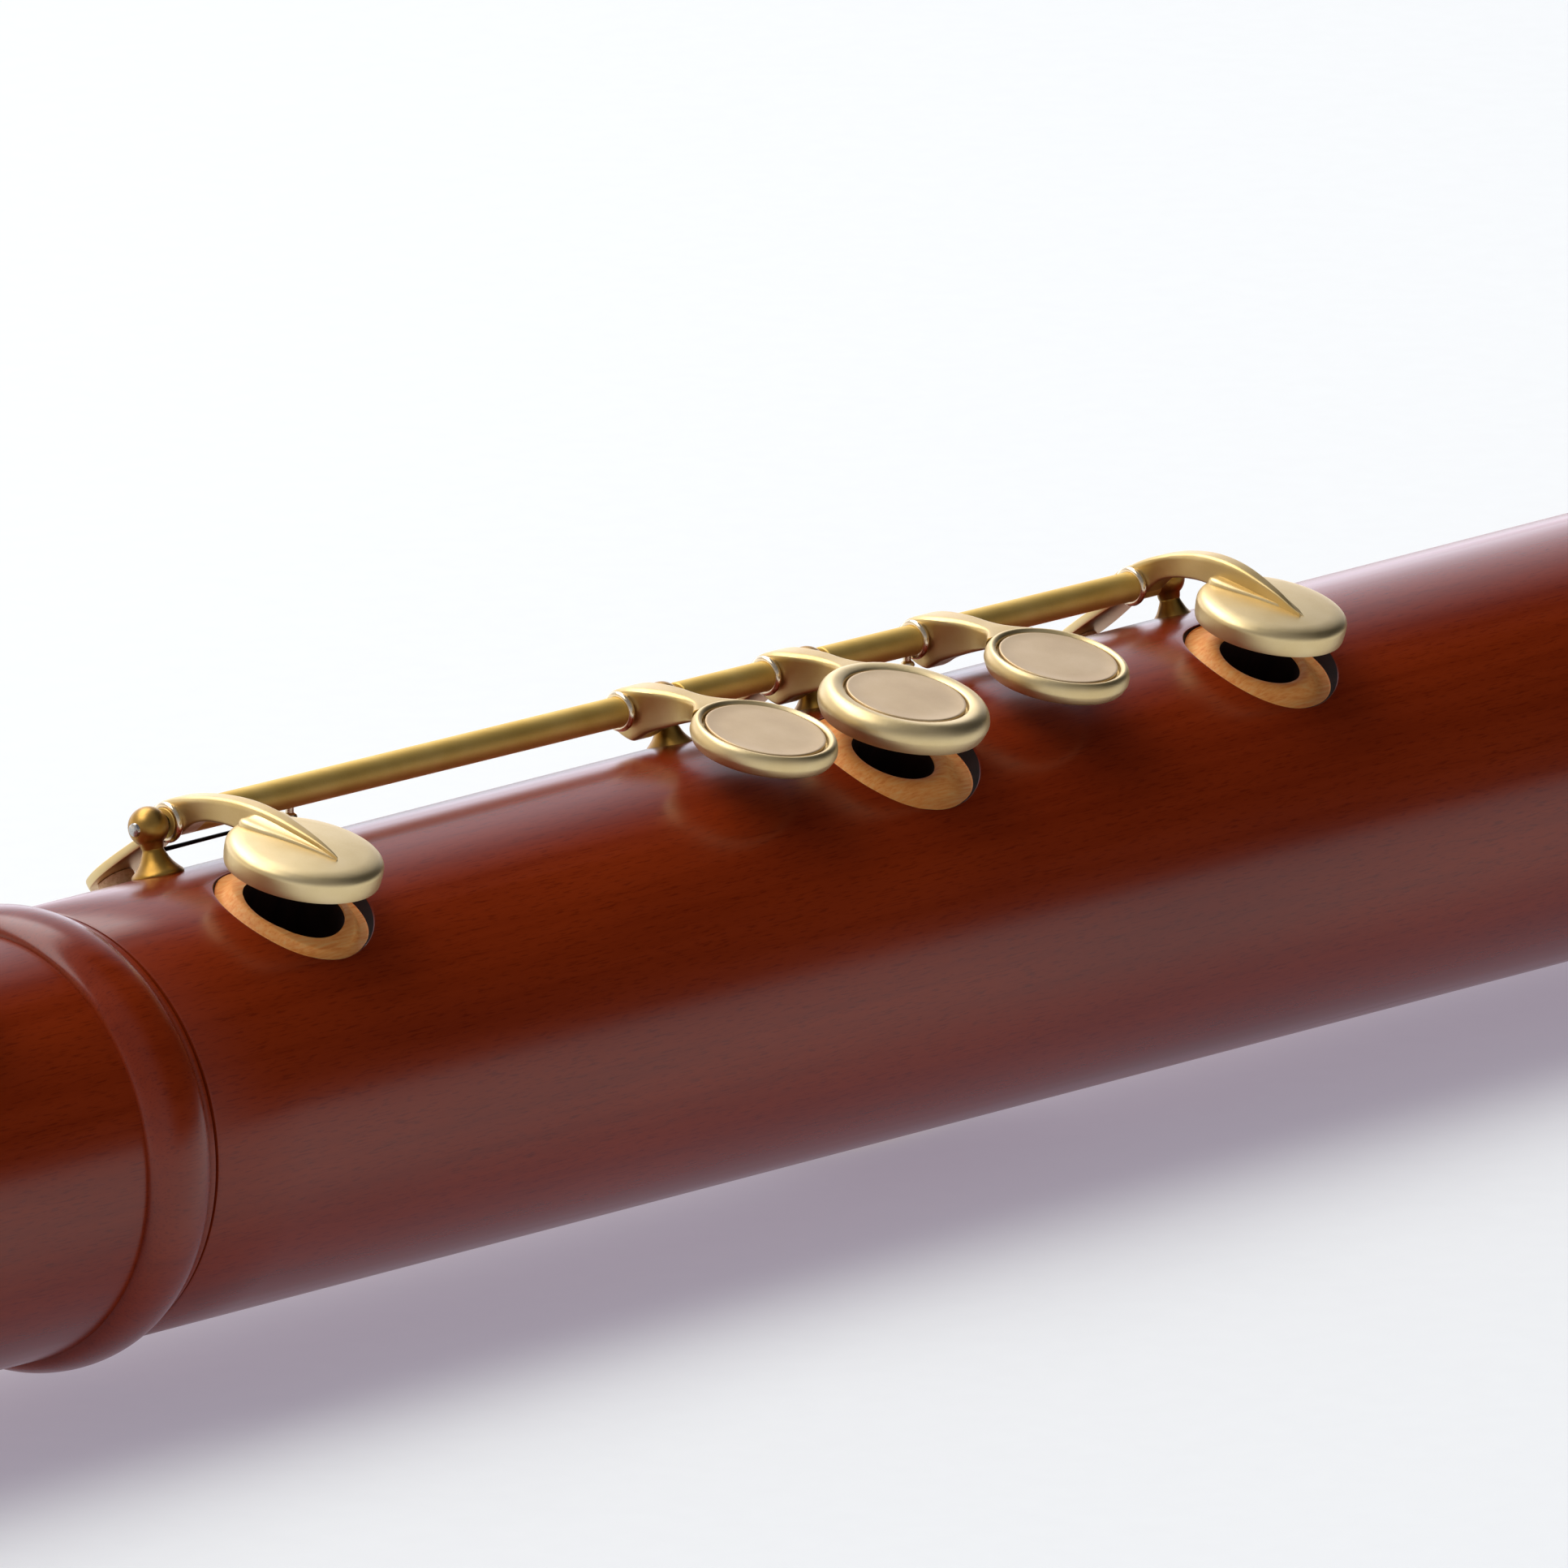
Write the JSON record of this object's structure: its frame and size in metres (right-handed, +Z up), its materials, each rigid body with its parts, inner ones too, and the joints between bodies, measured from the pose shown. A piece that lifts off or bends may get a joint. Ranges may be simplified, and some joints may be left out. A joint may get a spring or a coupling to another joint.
{
  "type": "bass recorder",
  "caption": "Bass recorder of stained wood with a bent brass blowing tube, three turned joints and satin gold open-standing keys over sunk tone holes, lying on its rings",
  "frame": {"origin": "middle of the footprint on the surface that the recorder lies on", "axes": "+X runs along the body from foot to head, +Z is up with the keys on top, +Y points to the side that the hinge rods are on"},
  "size_m": [1.082, 0.1608, 0.0539],
  "materials": {
    "stained_wood": "red-brown stain under satin lacquer, fine grain along the body",
    "cedar": "raw cedar",
    "key_brass": "satin pale gold plating, bead blasted",
    "bocal_brass": "satin pale gold plating",
    "steel": "blued spring steel and bright screws",
    "cork": "natural cork, sanded",
    "pad_leather": "thin brown leather over felt"
  },
  "bodies": {
    "centre": {"centre_joint": "stained_wood", "lower_tenon_cork": "cork", "upper_tenon_cork": "cork", "hinge_rod": "steel", "left_hinge_rod": "steel", "thumb_rest": "key_brass", "thumb_rest_screw_1": "steel", "thumb_rest_screw_2": "steel", "sling_eye": "key_brass", "post_1": "key_brass", "post_2": "key_brass", "post_3": "key_brass", "post_4": "key_brass", "post_5": "key_brass", "post_6": "key_brass", "key_6_spring": "steel", "key_5_spring": "steel", "key_4_spring": "steel", "key_3_spring": "steel"},
    "foot": {"foot_joint": "stained_wood", "post_7": "key_brass", "post_8": "key_brass", "foot_hinge_rod": "steel", "key_7_spring": "steel"},
    "head": {"head_joint": "stained_wood"},
    "block_body": {"block": "cedar"},
    "cap_body": {"cap": "stained_wood"},
    "bocal_body": {"bocal": "bocal_brass", "bocal_cork": "cork"},
    "mouth_body": {"mouthpiece": "stained_wood"},
    "key_6_body": {"key_6": "key_brass", "key_6_inlay": "key_brass", "key_6_pad": "pad_leather", "key_6_stop_cork": "cork"},
    "key_5_body": {"key_5": "key_brass", "key_5_inlay": "key_brass", "key_5_pad": "pad_leather", "key_5_stop_cork": "cork"},
    "key_4_body": {"key_4": "key_brass", "key_4_inlay": "key_brass", "key_4_pad": "pad_leather", "key_4_stop_cork": "cork"},
    "key_3_body": {"key_3": "key_brass", "key_3_inlay": "key_brass", "key_3_pad": "pad_leather", "key_3_stop_cork": "cork"},
    "key_7_body": {"key_7": "key_brass", "key_7_inlay": "key_brass", "key_7_pad": "pad_leather", "key_7_stop_cork": "cork"}
  },
  "joints": [
    {"name": "key_6_press", "type": "hinge", "parent": "centre", "child": "key_6_body", "pos_m": [-0.325, -0.04875, 0.05018], "axis": [1, 0, 0], "range_deg": [0, 10], "stiffness_Nm_per_rad": 0.015, "springref_deg": -20.05},
    {"name": "key_5_press", "type": "hinge", "parent": "centre", "child": "key_5_body", "pos_m": [-0.238, -0.04875, 0.05018], "axis": [1, 0, 0], "range_deg": [0, 10], "stiffness_Nm_per_rad": 0.015, "springref_deg": -20.05},
    {"name": "key_4_press", "type": "hinge", "parent": "centre", "child": "key_4_body", "pos_m": [-0.2, -0.04875, 0.05018], "axis": [1, 0, 0], "range_deg": [0, 10], "stiffness_Nm_per_rad": 0.015, "springref_deg": -20.05},
    {"name": "key_3_press", "type": "hinge", "parent": "centre", "child": "key_3_body", "pos_m": [-0.093, -0.04911, 0.05098], "axis": [1, 0, 0], "range_deg": [0, 10], "stiffness_Nm_per_rad": 0.015, "springref_deg": -20.05},
    {"name": "key_7_press", "type": "hinge", "parent": "foot", "child": "key_7_body", "pos_m": [-0.41, -0.04806, 0.04863], "axis": [1, 0, 0], "range_deg": [0, 10], "stiffness_Nm_per_rad": 0.015, "springref_deg": -20.05},
    {"name": "foot_turn", "type": "hinge", "parent": "centre", "child": "foot", "pos_m": [-0.35, -0.05555, 0.02488], "axis": [1, 0, 0], "range_deg": [-30, 30]},
    {"name": "head_pull", "type": "slide", "parent": "centre", "child": "head", "axis": [1, 0, 0], "range_m": [0, 0.045]},
    {"name": "block_pull", "type": "slide", "parent": "head", "child": "block_body", "axis": [1, 0, 0], "range_m": [0, 0.07]},
    {"name": "cap_pull", "type": "slide", "parent": "block_body", "child": "cap_body", "axis": [1, 0, 0], "range_m": [0, 0.03]},
    {"name": "bocal_turn", "type": "hinge", "parent": "cap_body", "child": "bocal_body", "pos_m": [0.46, -0.05555, 0.02488], "axis": [1, 0, 0], "continuous": true},
    {"name": "mouthpiece_pull", "type": "slide", "parent": "bocal_body", "child": "mouth_body", "axis": [-0.4695, 0.8829, 0], "range_m": [0, 0.018]}
  ]
}
